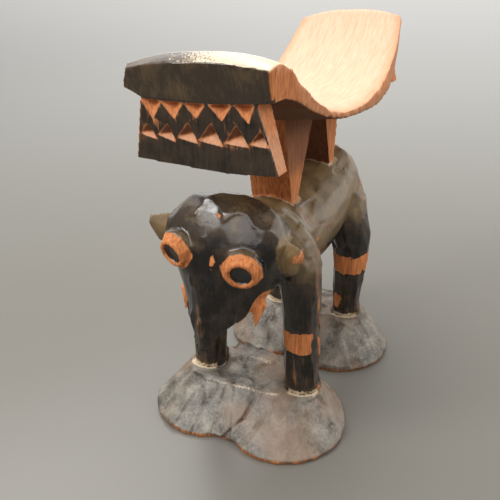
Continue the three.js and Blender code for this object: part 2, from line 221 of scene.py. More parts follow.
def over_saddle(p):
    """How far a point lies above the pillow's underside."""
    across = np.clip(np.abs(p[:, 0]) / np.interp(p[:, 1], SADDLE_Y, SADDLE_HALF), 0, 1)
    under = np.interp(p[:, 1], SADDLE_Y, SADDLE_UNDER) - UNDER_CROWN * (1 - across ** 2)
    return p[:, 2] - ROLL * p[:, 0] - under


def to_post(p, foot, top, foot_z, top_z):
    """Distance outside a wedge-shaped post, negative inside it."""
    t = (p[:, 2] - foot_z) / (top_z - foot_z)
    front = foot[0] + (top[0] - foot[0]) * t - p[:, 1]
    back = p[:, 1] - (foot[1] + (top[1] - foot[1]) * t)
    return np.maximum.reduce([front, back, np.abs(p[:, 0]) - 9, foot_z + 2 - p[:, 2]])


def to_posts(p):
    return np.minimum(
        to_post(p, (-13.8, -9.8), (-21.7, 9.3), 86, 126),
        to_post(p, (26.8, 31.8), (18.3, 36.3), 93, 125),
    )


def to_legs(p, which):
    """Distance outside a pair of legs, negative inside them."""
    return to_path(mirrored(p), LEGS[which]) - LEG_RADIUS[which]


def eye_parts(p, side):
    """How far a point stands out along an eye's axis, and how far it lies from the axis."""
    turn, droop = math.radians(EYE_TURN) * side, math.radians(EYE_DROOP)
    axis = np.array([math.sin(turn) * math.cos(droop), -math.cos(turn) * math.cos(droop), -math.sin(droop)])
    apart = p - np.array(EYES[side])
    out = apart @ axis
    return out, np.linalg.norm(apart - out[:, None] * axis, axis=1)


def on_eye(p):
    """Depth inside the area of the eye cones, negative outside it."""
    found = []
    for side in EYES:
        out, away = eye_parts(p, side)
        cone = EYE_BASE - (EYE_BASE - EYE_RIM) / EYE_PROUD * out + 0.7 - away
        found.append(np.minimum(out - 0.7, cone))
    return np.maximum(*found)


def in_pupil(p):
    found = []
    for side in EYES:
        out, away = eye_parts(p, side)
        found.append(np.minimum(PUPIL - away, EYE_PROUD - 0.7 - out + 3 * (away < PUPIL - 1)))
    return np.maximum(*found)


def to_ears(p):
    return np.minimum(to_path(p, EAR[1]), to_path(p, EAR[-1])) + 12 * (np.abs(p[:, 0]) < 22.6)


def in_chips(x, z, chips):
    """Depth inside the triangles of the chip carving, negative outside them."""
    found = []
    for corners in chips:
        middle = np.mean(corners, axis=0)
        sides = []
        for (ax, az), (bx, bz) in zip(corners, corners[1:] + corners[:1]):
            across = np.array([az - bz, bx - ax]) / math.hypot(bx - ax, bz - az)
            if (middle - (ax, az)) @ across < 0:
                across = -across
            sides.append((x - ax) * across[0] + (z - az) * across[1])
        found.append(np.minimum.reduce(sides))
    return np.maximum.reduce(found)


def to_tusks(p):
    return to_segment(mirrored(p), *TUSK)


# The knife-cut surface

class Grid:
    """Finds the vertices near a point."""

    def __init__(self, points, cell):
        self.cell = cell
        self.low = points.min(0) - cell
        keys = ((points - self.low) / cell).astype(int)
        self.size = keys.max(0) + 2
        flat = self.flat(keys)
        self.order = np.argsort(flat, kind="stable")
        self.sorted = flat[self.order]

    def flat(self, keys):
        return (keys[..., 0] * self.size[1] + keys[..., 1]) * self.size[2] + keys[..., 2]

    def near(self, point, radius):
        low = np.maximum(((point - radius - self.low) / self.cell).astype(int), 0)
        high = np.minimum(((point + radius - self.low) / self.cell).astype(int), self.size - 1)
        found = []
        for i in range(low[0], high[0] + 1):
            for j in range(low[1], high[1] + 1):
                first = self.flat(np.array([i, j, low[2]]))
                last = self.flat(np.array([i, j, high[2]]))
                a = np.searchsorted(self.sorted, first, "left")
                b = np.searchsorted(self.sorted, last, "right")
                found.append(self.order[a:b])
        return np.concatenate(found)


def downhill(point):
    return np.array([0, 0, -1.0])


def lengthwise(point):
    return np.array([0, 1.0, 0.15])


def towards_trunk(point):
    return np.array([0, -66.0, 58]) - point


def plan_cuts(points, normals, grid, where, width, stretch, stroke, swing, tilt, step):
    """Spreads knife cuts over an area. Each has its middle, the plane it leaves, and its reach."""
    taken = ~where
    cuts = []
    for index in rng.permutation(np.flatnonzero(where)):
        if taken[index]:
            continue
        facing = normals[index]
        near = grid.near(points[index], width * stretch * 1.3)
        near = near[normals[near] @ facing > 0.5]
        apart = points[near] - points[index]
        along = unit(stroke(points[index])) + rng.normal(0, swing, 3)
        along = unit(along - facing * (along @ facing))
        across = np.cross(facing, along)
        reach = np.sqrt((apart @ along / stretch) ** 2 + (apart @ across) ** 2)
        taken[near[reach < width * 0.85]] = True
        fit = near[(reach < width * 0.55) & (normals[near] @ facing > 0.8)]
        plane = unit(normals[fit].mean(0)) + rng.normal(0, tilt) * along * 0.6 + rng.normal(0, tilt) * across
        plane = unit(plane)
        middle = points[fit].mean(0) + plane * rng.normal(0, step)
        cuts.append((near, reach, middle, plane, width))
    return cuts


def make_cuts(points, normals, cuts, free):
    """Every vertex goes to the plane of its nearest cut, blended with the next one where two cuts meet."""
    nearest = np.full(len(points), np.inf)
    share = np.full(len(points), np.inf)
    for near, reach, middle, plane, width in cuts:
        nearest[near] = np.minimum(nearest[near], reach ** 2)
        share[near] = np.minimum(share[near], reach / width)
    height = np.zeros(len(points))
    total = np.zeros(len(points))
    for near, reach, middle, plane, width in cuts:
        rise = (middle - points[near]) @ plane / np.maximum(normals[near] @ plane, 0.6)
        hold = np.exp(-np.minimum((reach ** 2 - nearest[near]) / RIDGE, 30))
        height[near] += hold * np.clip(rise, -1.1, 1.1)
        total[near] += hold
    height = height / np.maximum(total, 1e-9) * free * (1 - ramp(share, 1, 1.3))
    return points + height[:, None] * normals


def even_saddle(points):
    """Runs the pillow's top and underside as smooth curves through the block-out's stations."""
    y = points[:, 1]
    x = points[:, 0]
    top = np.interp(y, SADDLE_Y, SADDLE_TOP)
    under = np.interp(y, SADDLE_Y, SADDLE_UNDER)
    share = np.clip((points[:, 2] - ROLL * x - under) / (top - under), 0, 1)
    across = np.clip(np.abs(x) / np.interp(y, SADDLE_Y, SADDLE_HALF), 0, 1)
    steps = np.arange(0, 1 + CROWN_STEP, CROWN_STEP)
    sag = curve(y, SADDLE_Y, SADDLE_CROWN) * across ** CROWN_POWER
    sag -= np.interp(y, SADDLE_Y, SADDLE_CROWN) * np.interp(across, steps, steps ** CROWN_POWER)
    shift = share * (curve(y, SADDLE_Y, SADDLE_TOP) - top - sag)
    shift += (1 - share) * (curve(y, SADDLE_Y, SADDLE_UNDER) - under)
    moved = points.copy()
    moved[:, 2] += shift * ramp(over_saddle(points), -1, 0)
    return moved


def incise(points, normals, away, width, depth):
    """A narrow groove, deepest where the distance away from its line is 0."""
    push = depth * np.clip(1 - away / width, 0, 1)
    return points - push[:, None] * normals


def nick_edges(points, saddle):
    """Small bites that the knife took from the pillow's long lower edges."""
    for side in (1, -1):
        flank = saddle * (points[:, 0] * side > 20) * (1 - ramp(over_saddle(points), 1, 4.5))
        place = -62.0
        while place < 70:
            place += rng.uniform(2.5, 6)
            depth = rng.uniform(0.1, 0.45)
            bite = depth * (1 - ramp(np.abs(points[:, 1] - place), 0.2, rng.uniform(1.6, 3.4)))
            points[:, 0] -= side * bite * flank
            points[:, 2] += 0.6 * bite * flank
    return points


def carve_surface(mesh):
    """Smooths away the block-out's flats, cuts the carver's own, and notes the ridges for the wear."""
    ends = edges_of(mesh)
    points = even_saddle(points_of(mesh))
    z = points[:, 2]
    saddle = ramp(over_saddle(points), -0.8, -0.2)
    panels = (points[:, 1] < -54) * ramp(z, 113, 114) + (points[:, 1] > 60) * ramp(z, 120, 121)
    posts = 1 - ramp(to_posts(points), 0.25, 0.7)
    eyes = ramp(on_eye(points), -1.6, -0.6)
    tusks = 1 - ramp(to_tusks(points), 3.6, 4.6)
    ears = 1 - ramp(to_ears(points), 10, 12)
    rims = 1 - ramp(z, 1.2, 2.6)
    kept = np.maximum.reduce([saddle, np.clip(panels, 0, 1), posts, eyes, tusks, rims])
    soft = 1 - kept
    points = relax(points, ends, (soft * (1 - ears))[:, None], 50)
    points = relax(points, ends, ears[:, None], 8)
    head = soft * ramp(-points[:, 1], 34, 40) * ramp(z, 66, 72) * (1 - ramp(z, 107, 109))
    points = relax(points, ends, (head * (1 - ears))[:, None], 60)
    points = relax(points, ends, 0.7 * kept[:, None], 3)
    rolled = saddle * ramp(np.abs(points[:, 0]), 19, 23) * ramp(over_saddle(points), 2.2, 3.6)
    rolled = rolled * ramp(points[:, 1], -60, -52) * (1 - ramp(points[:, 1], 0, 15))
    points = relax(points, ends, rolled[:, None], 25)
    put_points(mesh, points)
    normals = normals_of(mesh)
    grid = Grid(points, 1.5)
    z = points[:, 2]

    off_legs = np.minimum(to_legs(points, "front"), to_legs(points, "rear"))
    on_legs = (off_legs < 3) & (z > LEDGE_Z + 0.6) & (z < 76)
    on_feet = (z < LEDGE_Z + 2) & ~on_legs
    on_ledge = on_feet & (normals[:, 2] > 0.85) & (z > 13)
    on_head = (points[:, 1] < -33) & (z > 50) & (z < 108) & ~on_legs
    on_face = on_head & (z < 88) & (points[:, 1] < -50)
    on_body = ~(on_legs | on_feet | on_head)
    free = soft * (1 - ears) * (z > 0.6) * (1 - ramp(on_eye(points), -4.5, -2))
    some = free > 0.3
    flanks = (saddle > 0.9) & (np.abs(normals[:, 0]) > 0.75) & (points[:, 1] > -64)
    posts_cut = (posts > 0.9) & (z < 124) & (saddle < 0.1)
    cuts = []
    for where, width, stretch, stroke, swing, tilt, step in (
        (some & on_feet & ~on_ledge, 6, 3.4, downhill, 0.05, 0.04, 0.03),
        (some & on_legs, 4.2, 2.8, downhill, 0.06, 0.02, 0.02),
        (some & on_body, 6.5, 2.2, lengthwise, 0.1, 0.006, 0.008),
        (some & on_head & ~on_face, 7.8, 1.3, towards_trunk, 0.4, 0.022, 0.012),
        (some & on_face, 4.8, 2.0, downhill, 0.15, 0.03, 0.03),
        (flanks, 3.4, 2.6, downhill, 0.1, 0.02, 0.03),
        (posts_cut, 4.2, 3, downhill, 0.05, 0.02, 0.03),
    ):
        cuts += plan_cuts(points, normals, grid, where, width, stretch, stroke, swing, tilt, step)
    shallow = 0.15 * on_feet + 0.55 * on_body + 0.5 * on_head * ramp(z, 84, 90)
    free = np.maximum(free * (1 - shallow), np.maximum(flanks, posts_cut).astype(float))
    points = make_cuts(points, normals, cuts, free)
    round_eyes = ramp(on_eye(points), -4.5, -2.5) * (1 - ramp(on_eye(points), -0.8, -0.1))
    points = relax(points, ends, round_eyes[:, None], 14)

    points = incise(points, normals, to_path(points, CRACK), 0.9, 1.5)
    for which in LEGS:
        beside = np.abs(to_legs(points, which) - 0.35) + 3 * (np.abs(z - LEDGE_Z) > 1.2)
        points = incise(points, normals, beside, 0.8, 0.5)
    beside = np.abs(to_posts(points) - 0.5) + 3 * (np.abs(z - 92) > 9)
    points = incise(points, normals, beside, 0.7, 0.4)
    points = nick_edges(points, saddle)
    low, high = (np.array(corner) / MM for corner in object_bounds())
    points = np.clip(points, low + BOX_GAP, high - BOX_GAP)

    smooth = points
    for _ in range(12):
        smooth = smooth + 0.6 * (neighbour_mean(smooth, ends, len(points)) - smooth)
    put_points(mesh, points)
    normals = normals_of(mesh)
    ridge = np.clip(((points - smooth) * normals).sum(1), -0.5, 0.42)
    under_head = (points[:, 1] < -42) * (1 - ramp(z, 78, 84)) * ramp(z, 48, 50)
    foot = 1 - ramp(z, 15, 18)
    keep_attribute(mesh, "ridge", ridge * (1 - 0.6 * under_head) * (1 - 0.5 * foot))


def keep_attribute(mesh, name, values):
    stored = mesh.attributes.new(name, "FLOAT", "POINT")
    stored.data.foreach_set("value", values.astype(np.float32))


def patch(p, middle, half):
    """Depth inside an egg-shaped patch in millimetres, negative outside it."""
    away = np.sqrt((((p - np.array(middle)) / np.array(half)) ** 2).sum(1))
    return (1 - away) * min(half)


def bare_wood(p, n, above, pillow, near_panel, far_panel):
    """Depth inside the wood that was never stained: the pillow, posts, tusks, eye rings and chips."""
    x, y, z = p.T
    on_pillow = np.maximum(y + 54, np.where(x > 0, x - 25.4, -1))
    on_pillow = np.where(y > 64, np.minimum(on_pillow, (0.55 - n[:, 1]) * 5), on_pillow)
    tusk_root = (TUSK[0][2] - z) * 1.2
    between = np.minimum.reduce([z - 100, -0.2 - above, 12 - np.abs(x), y + 26, 40 - y])
    bare = np.maximum.reduce([
        0.5 - to_posts(p),
        between,
        np.minimum(3.9 - to_tusks(p), tusk_root),
        np.minimum(on_eye(p), -in_pupil(p)),
    ])
    bare = np.where(pillow, on_pillow, bare)
    near_chips = np.minimum.reduce([in_chips(x, z, CHIPS) + 0.15, y - NEAR_FACE + 0.9, (0.1 - above) * 2])
    far_chips = np.minimum(in_chips(x / FAR_SPREAD, z, UPPER_CHIPS) + 0.15, FAR_FACE - y + 0.9)
    bare = np.where(near_panel, np.maximum(y - NEAR_FACE - 0.5, near_chips), bare)
    return np.where(far_panel, np.maximum(FAR_FACE - y - 0.5, far_chips), bare)


def scraped_bands(p):
    """Depth inside the bands round the legs and the patches on a leg and the face, scraped clean."""
    x, y, z = p.T
    bands = []
    for which, side, middle, half in (
        ("front", 1, 40.4, 4.6), ("front", -1, 37, 3.4), ("rear", 1, 45.4, 4.6), ("rear", -1, 44, 4.2),
    ):
        on_leg = 3 - to_legs(p, which) - 9 * (x * side < 4)
        bands.append(np.minimum(half - np.abs(z - middle), on_leg))
    # The first band stops short of the leg's outer side.
    leg = LEGS["front"][1]
    bands[0] = np.minimum(bands[0], 3.4 - (x - leg[0]) * 0.88 - (y - leg[1]) * 0.48)
    return np.maximum.reduce(bands + [
        patch(p, (14.4, 27.2, 25), (2.6, 3, 3.6)),
        patch(p, (2.2, -65.6, 85.5), (1.8, 3, 4.6)) - 0.5,
        patch(p, (1.6, -59, 99.8), (2.2, 1.2, 0.9)) - 0.5,
    ])


def bruises_and_painted_glare(p, n, above):
    """Depth inside the pale, gritty spots: round the legs and posts, along the ledge, and a painted
    highlight of glare on the near end's top, paler towards +X.
    """
    x, y, z = p.T
    raw_and_glare = np.full(len(p), -4.0)
    for which, middle in (
        ("front", (25.5, -38.5)), ("front", (-22.5, -39.5)), ("rear", (19, 26)), ("rear", (-18, 26)),
    ):
        ring = 1.1 - np.abs(to_legs(p, which) - 0.9)
        arc = 6.5 - np.hypot(x - middle[0], y - middle[1])
        raw_and_glare = np.maximum(raw_and_glare, np.minimum.reduce([ring, arc, 2 - np.abs(z - LEDGE_Z)]))
    foot_line = np.minimum(0.4 - np.abs(to_posts(p) - 0.9), 7 - np.abs(z - 92))
    edge_line = 0.35 - to_segment(p, (-16, -46.4, LEDGE_Z), (17, -42.8, LEDGE_Z))
    raw_and_glare = np.maximum.reduce([
        raw_and_glare, foot_line, edge_line, patch(p, (-1, -24.4, LEDGE_Z), (4.6, 1.9, 2)),
    ])
    # Painted highlight: the up-facing top of the near end is painted pale, more so towards +X, as the glare
    # on the satin stain.
    slab_top = (above > -1) & (y < -53.5) & (n[:, 2] > 0.45)
    return np.where(slab_top, np.maximum(raw_and_glare, -0.75 + 1.6 * ramp(x, -20, 24)), raw_and_glare)


def stain_fading(p, on_leg, pillow):
    """How thin and grey the stain is: 0 is black, about 0.9 is grey, and over 1 is dusty."""
    x, y, z = p.T
    head = ramp(-y, 34, 42) * ramp(z, 52, 56) * (1 - ramp(z, 108, 111))
    faded = 0.14 + 0.8 * ramp(z, 58, 76)
    cheek = ramp(y, -60, -53) * ramp(z, 77, 83)
    faded = faded + head * (0.04 + 0.4 * np.maximum(ramp(z, 90, 97), 1.3 * cheek) - faded)
    # Above the eyes the stain is grey like the brow, and the grey also covers the crease where the eyes meet
    # the brow, as painted light over its shade.
    brow = ramp(on_eye(p), -4, -1.5) * ramp(z, 86, 90)
    faded = np.maximum(faded, 0.62 * brow)
    faded = faded + (1 - ramp(to_ears(p), 6, 9)) * (0.96 - faded)
    faded = np.where(z > 108, np.where(pillow, 0.44, 0.26), faded)
    return faded + (1 - on_leg) * (1 - ramp(z, LEDGE_Z + 1, LEDGE_Z + 3)) * (1.25 - faded)


def stain_wear(p, on_leg, near_panel):
    """How much stain is rubbed off, from 0 to 1: along the worn lines, at the floor and on the legs."""
    x, z = p[:, 0], p[:, 2]
    return np.maximum.reduce(
        [amount * (1 - ramp(to_path(p, path), 0.5, 3.6)) for amount, path in WORN]
        + [
            1 - ramp(z, 1, 3.4),
            0.55 * near_panel * ramp(-x, 20.6, 22.6) * ramp(z, 119, 121),
            0.42 * on_leg * (1 - ramp(z, 60, 75)),
        ]
    )


def paleness_and_painted_light(p, n, above, near_panel):
    """How pale the bare wood is, from 0 to 1: most on the pillow's top, where the wood is pale. Painted
    light and shade ride on it: less pale on faces turned to the side and towards the rounded long edges, as
    painted shade, and paler on the up-facing faces of the low chips, as painted light.
    """
    x, y, z = p.T
    # Painted shade: faces that turn to the side lose paleness, fully at the near end and half of it further
    # back.
    side = 1 - ramp(n[:, 2], np.interp(y, (-50, -30), (0.1, 0.3)), np.interp(y, (-50, -30), (0.4, 0.75)))
    pale = ramp(above, -0.4, 0.4) * (1 - side * (1 - 0.5 * ramp(y, -56, -40)))
    # Painted shade: darker towards the pillow's rounded long edges.
    pale = pale * (1 - 0.5 * ramp(np.abs(x) / np.interp(y, SADDLE_Y, SADDLE_HALF), 0.8, 1))
    # Painted light: on the near end's panel, the up-facing faces of the low chips are paler.
    return np.where(near_panel, 0.05 + 0.4 * ramp(n[:, 2], 0.1, 0.4) * (z < 131), pale)


def recess_painted_shade(p, n, above, near_panel):
    """How dark the painted shade is, from 0 to 1: on the down-facing faces of the low chips, on the post
    faces towards the gap between the posts and on the front post's +X side, and under the pillow.
    """
    x, y, z = p.T
    low_chips = near_panel * ramp(in_chips(x, z, LOWER_CHIPS), -0.3, 0.2) * ramp(-n[:, 2], 0, 0.3)
    recess = (to_posts(p) < 0.4) * (z > 94)
    behind = recess * (y > 5) * ramp(-n[:, 1], 0.3, 0.8)
    beside = recess * (y < 12) * ramp(n[:, 0], 0.5, 0.9) * ramp(z, 97, 106) * 0.75
    below = (above < 2) * (y > -60) * (y < 66) * ramp(-n[:, 2], 0.3, 0.7) * (z > 110)
    return np.maximum.reduce([low_chips, behind, beside, below])


def mark_finishes_and_painted_light(mesh):
    """Notes the finishes and the painted light and shade at each vertex: depths inside an area in
    millimetres, and shares.
    """
    p = points_of(mesh)
    n = normals_of(mesh)
    y, z = p[:, 1], p[:, 2]
    above = over_saddle(p)
    near_panel = (above < 1) & (y < -54) & (y > NEAR_FACE - 1.2) & (z > 113)
    far_panel = (above < 1) & (y > 60) & (y < FAR_FACE + 1.2) & (z > 120)
    pillow = (above > -0.35) & ~near_panel & ~far_panel
    on_leg = 1 - ramp(np.minimum(to_legs(p, "front"), to_legs(p, "rear")), 0.2, 0.9)

    bare = bare_wood(p, n, above, pillow, near_panel, far_panel)
    # The raw spots carry a painted highlight of glare on the near end's top.
    for name, depth in (("bare", bare), ("rubbed", scraped_bands(p)), ("raw_and_glare", bruises_and_painted_glare(p, n, above))):
        keep_attribute(mesh, name, np.clip(depth, -4, 4))
    keep_attribute(mesh, "crack", to_path(p, CRACK))
    keep_attribute(mesh, "faded", stain_fading(p, on_leg, pillow))
    keep_attribute(mesh, "worn", stain_wear(p, on_leg, near_panel))
    # Pale wood of the pillow, with painted light and shade that follow which way the faces turn.
    keep_attribute(mesh, "pillow", paleness_and_painted_light(p, n, above, near_panel))
    # Painted shade: dark on down-facing faces and in the recesses.
    keep_attribute(mesh, "painted_shade", recess_painted_shade(p, n, above, near_panel))


def carving():
    """The whole carving, from a copy of the solid: one skin of even small faces, then the cuts."""
    piece = bpy.data.objects.new("carving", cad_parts["carved_headrest"].data.copy())
    bpy.context.scene.collection.objects.link(piece)
    piece.data.materials.clear()
    pick(piece)
    bpy.ops.object.mode_set(mode="EDIT")
    bpy.ops.mesh.select_all(action="SELECT")
    bpy.ops.mesh.remove_doubles(threshold=0.02 * MM)
    bpy.ops.object.mode_set(mode="OBJECT")
    finish_modifier(piece, "REMESH", mode="VOXEL", voxel_size=SKIN_STEP)
    carve_surface(piece.data)
    triangles = 2 * len(piece.data.polygons)
    finish_modifier(piece, "DECIMATE", ratio=TRIANGLES / triangles, use_collapse_triangulate=True)
    mark_finishes_and_painted_light(piece.data)
    pick(piece)
    bpy.ops.object.shade_smooth()
    return piece


# Materials

def srgb(code):
    """A hex colour as linear red, green, blue and alpha."""
    parts = [int(code[i:i + 2], 16) / 255 for i in (1, 3, 5)]
    return [c / 12.92 if c <= 0.04045 else ((c + 0.055) / 1.055) ** 2.4 for c in parts] + [1.0]


def add(tree, kind, inputs=(), **settings):
    """Adds a node: its settings by name, and its inputs as pairs of a socket and a value or a link."""
    made = tree.nodes.new(kind)
    for name, value in settings.items():
        setattr(made, name, value)
    for socket, value in inputs:
        if isinstance(value, bpy.types.NodeSocket):
            tree.links.new(value, made.inputs[socket])
        else:
            made.inputs[socket].default_value = value
    return made


def stained_hardwood():
    """A close-grained brown hardwood, cut with a knife and stained black. The stain is satin and
    rubs through to red-brown wood on the ridges; where it was scraped off, the wood is dry and orange."""
    material = bpy.data.materials.new("knife_cut_hardwood_black_stain")
    material.use_nodes = True
    tree = material.node_tree
    shader = tree.nodes["Principled BSDF"]
    place = add(tree, "ShaderNodeTexCoord").outputs["Object"]
    marks = {
        name: add(tree, "ShaderNodeAttribute", attribute_name=name).outputs["Fac"]
        for name in ("bare", "rubbed", "raw_and_glare", "ridge", "crack", "pillow", "faded", "worn", "painted_shade")
    }

    # Fibres 0.9 mm wide and 10 mm long run along the piece, drawn coarser than real ones so that they
    # show. Knife marks 0.8 mm wide and 9 mm long run down it.
    along = add(tree, "ShaderNodeMapping", [("Vector", place), ("Scale", (1, 0.09, 0.14))])
    fibres = add(tree, "ShaderNodeTexNoise", [
        ("Vector", along.outputs[0]), ("Scale", 1 / (0.9 * MM)), ("Detail", 5), ("Roughness", 0.7)])
    down = add(tree, "ShaderNodeMapping", [("Vector", place), ("Scale", (1, 1, 0.09))])
    strokes = add(tree, "ShaderNodeTexNoise", [
        ("Vector", down.outputs[0]), ("Scale", 1 / (0.8 * MM)), ("Detail", 3), ("Roughness", 0.6)])
    blotches = add(tree, "ShaderNodeTexNoise", [
        ("Vector", place), ("Scale", 1 / (7 * MM)), ("Detail", 4), ("Roughness", 0.6)])
    clouds = add(tree, "ShaderNodeTexNoise", [
        ("Vector", place), ("Scale", 1 / (22 * MM)), ("Detail", 2), ("Roughness", 0.5)])
    grit = add(tree, "ShaderNodeTexNoise", [
        ("Vector", place), ("Scale", 1 / (0.7 * MM)), ("Detail", 3), ("Roughness", 0.65)])

    # Ragged borders: the depth inside an area, shifted by noise, goes from 0 to 1 over a third of a mm.
    masks = {}
    for name, ragged, noise in (("bare", 0.2, strokes), ("rubbed", 2.4, blotches), ("raw_and_glare", 1.6, grit)):
        shift = add(tree, "ShaderNodeMath", [(0, noise.outputs["Fac"]), (1, 0.5)], operation="SUBTRACT")
        moved = add(tree, "ShaderNodeMath", [(0, shift.outputs[0]), (1, 2 * ragged), (2, marks[name])],
                    operation="MULTIPLY_ADD")
        masks[name] = add(tree, "ShaderNodeMapRange", [
            ("Value", moved.outputs[0]), ("From Min", -0.18), ("From Max", 0.18)]).outputs[0]

    # Bare wood: orange-brown with darker knife marks, paler with finer fibres on the pillow's top, where
    # painted light and shade also ride on the paleness, and darkened with painted shade in the recesses and
    # on down-facing faces.
    orange = add(tree, "ShaderNodeValToRGB", [("Fac", strokes.outputs["Fac"])])
    orange.color_ramp.elements[0].position = 0.3
    orange.color_ramp.elements[0].color = srgb("#a25a30")
    orange.color_ramp.elements[1].position = 0.68
    orange.color_ramp.elements[1].color = srgb("#dd8b4d")
    pale = add(tree, "ShaderNodeValToRGB", [("Fac", fibres.outputs["Fac"])])
    pale.color_ramp.elements[0].position = 0.3
    pale.color_ramp.elements[0].color = srgb("#c3997c")
    pale.color_ramp.elements[1].position = 0.68
    pale.color_ramp.elements[1].color = srgb("#d8b497")
    wood = add(tree, "ShaderNodeMix", [
        ("Factor", marks["pillow"]), ("A", orange.outputs["Color"]), ("B", pale.outputs["Color"]),
    ], data_type="RGBA")
    # Painted shade: the bare wood goes towards a dark brown where the shade mark is high.
    painted_shade_amount = add(tree, "ShaderNodeMath", [(0, marks["painted_shade"]), (1, 0.8)], operation="MULTIPLY")
    wood = add(tree, "ShaderNodeMix", [
        ("Factor", painted_shade_amount.outputs[0]), ("A", wood.outputs["Result"]), ("B", srgb("#3a1d0f")),
    ], data_type="RGBA")

    # The stain is black on the legs and the face, thinner and greyer on the back, and covered with grey
    # dust on the feet, with brown clouds.
    cloudy = add(tree, "ShaderNodeMath", [(0, clouds.outputs["Fac"]), (1, 0.35), (2, marks["faded"])],
                 operation="MULTIPLY_ADD")
    blotchy = add(tree, "ShaderNodeMath", [(0, blotches.outputs["Fac"]), (1, 1), (2, cloudy.outputs[0])],
                  operation="MULTIPLY_ADD")
    streaky = add(tree, "ShaderNodeMath", [(0, strokes.outputs["Fac"]), (1, 0.5), (2, blotchy.outputs[0])],
                  operation="MULTIPLY_ADD")
    thin_black = add(tree, "ShaderNodeMapRange", [
        ("Value", streaky.outputs[0]), ("From Min", 0.92), ("From Max", 1.25)])
    stain = add(tree, "ShaderNodeMix", [
        ("Factor", thin_black.outputs[0]), ("A", srgb("#15110e")), ("B", srgb("#3b2f24")),
    ], data_type="RGBA")
    grey = add(tree, "ShaderNodeMapRange", [
        ("Value", streaky.outputs[0]), ("From Min", 1.35), ("From Max", 2.05)])
    stain = add(tree, "ShaderNodeMix", [
        ("Factor", grey.outputs[0]), ("A", stain.outputs["Result"]), ("B", srgb("#826a46")),
    ], data_type="RGBA")
    mottled = add(tree, "ShaderNodeMapRange", [
        ("Value", streaky.outputs[0]), ("From Min", 1.98), ("From Max", 2.4)])
    dusty = add(tree, "ShaderNodeMix", [
        ("Factor", mottled.outputs[0]), ("A", srgb("#3f372d")), ("B", srgb("#958d80")),
    ], data_type="RGBA")
    warm = add(tree, "ShaderNodeMapRange", [
        ("Value", clouds.outputs["Fac"]), ("From Min", 0.47), ("From Max", 0.62), ("To Max", 0.6)])
    dusty = add(tree, "ShaderNodeMix", [
        ("Factor", warm.outputs[0]), ("A", dusty.outputs["Result"]), ("B", srgb("#7d6049")),
    ], data_type="RGBA")
    dust = add(tree, "ShaderNodeMapRange", [
        ("Value", marks["faded"]), ("From Min", 0.98), ("From Max", 1.2)])
    stain = add(tree, "ShaderNodeMix", [
        ("Factor", dust.outputs[0]), ("A", stain.outputs["Result"]), ("B", dusty.outputs["Result"]),
    ], data_type="RGBA")

    # Wear: proud ridges and the places that hands and the floor rub lose the stain, unevenly, first to
    # brown and then to orange wood.
    rubs = add(tree, "ShaderNodeMath", [(0, marks["worn"]), (1, 0.4), (2, marks["ridge"])],
               operation="MULTIPLY_ADD")
    uneven = add(tree, "ShaderNodeMath", [(0, blotches.outputs["Fac"]), (1, 0.4), (2, rubs.outputs[0])],
                 operation="MULTIPLY_ADD")
    broken = add(tree, "ShaderNodeMath", [(0, strokes.outputs["Fac"]), (1, 0.5), (2, uneven.outputs[0])],
                 operation="MULTIPLY_ADD")
    thin = add(tree, "ShaderNodeMapRange", [
        ("Value", broken.outputs[0]), ("From Min", 0.68), ("From Max", 0.86), ("To Max", 0.7)])
    through = add(tree, "ShaderNodeMapRange", [
        ("Value", broken.outputs[0]), ("From Min", 0.86), ("From Max", 0.95)])
    worn = add(tree, "ShaderNodeMix", [
        ("Factor", thin.outputs[0]), ("A", stain.outputs["Result"]), ("B", srgb("#6b4a30")),
    ], data_type="RGBA")
    worn = add(tree, "ShaderNodeMix", [
        ("Factor", through.outputs[0]), ("A", worn.outputs["Result"]), ("B", srgb("#b5703f")),
    ], data_type="RGBA")

    # Scraped, bare and bruised wood lie over the stain, the bruises' pale colour also paints a highlight of
    # glare on the near end's top, and the split is dark inside.
    colour = worn
    for name, source in (("rubbed", orange.outputs["Color"]), ("bare", wood.outputs["Result"])):
        colour = add(tree, "ShaderNodeMix", [
            ("Factor", masks[name]), ("A", colour.outputs["Result"]), ("B", source),
        ], data_type="RGBA")
    colour = add(tree, "ShaderNodeMix", [
        ("Factor", masks["raw_and_glare"]), ("A", colour.outputs["Result"]), ("B", srgb("#c9b598")),
    ], data_type="RGBA")
    split = add(tree, "ShaderNodeMapRange", [
        ("Value", marks["crack"]), ("From Min", 0.95), ("From Max", 0.45), ("To Max", 0.9)])
    colour = add(tree, "ShaderNodeMix", [
        ("Factor", split.outputs[0]), ("A", colour.outputs["Result"]), ("B", srgb("#43210f")),
    ], data_type="RGBA")
    tree.links.new(colour.outputs["Result"], shader.inputs["Base Color"])

    # Stain is satin, and duller where it is faded. Open wood is dry.
    open_wood = add(tree, "ShaderNodeMath", [(0, masks["bare"]), (1, masks["rubbed"])], operation="MAXIMUM")
    gloss = add(tree, "ShaderNodeMapRange", [
        ("Value", blotchy.outputs[0]), ("From Min", 0.9), ("From Max", 1.9),
        ("To Min", 0.2), ("To Max", 0.46)])
    dull = add(tree, "ShaderNodeMix", [
        ("Factor", open_wood.outputs[0]), ("A", gloss.outputs[0]), ("B", 0.78)], data_type="FLOAT")
    tree.links.new(dull.outputs["Result"], shader.inputs["Roughness"])

    # Relief of the knife marks and the grit: 0.06 mm high.
    relief = add(tree, "ShaderNodeMath", [
        (0, strokes.outputs["Fac"]), (1, 0.6), (2, grit.outputs["Fac"])], operation="MULTIPLY_ADD")
    bump = add(tree, "ShaderNodeBump", [
        ("Height", relief.outputs[0]), ("Strength", 0.6), ("Distance", 0.06 * MM)])
    tree.links.new(bump.outputs["Normal"], shader.inputs["Normal"])
    return material


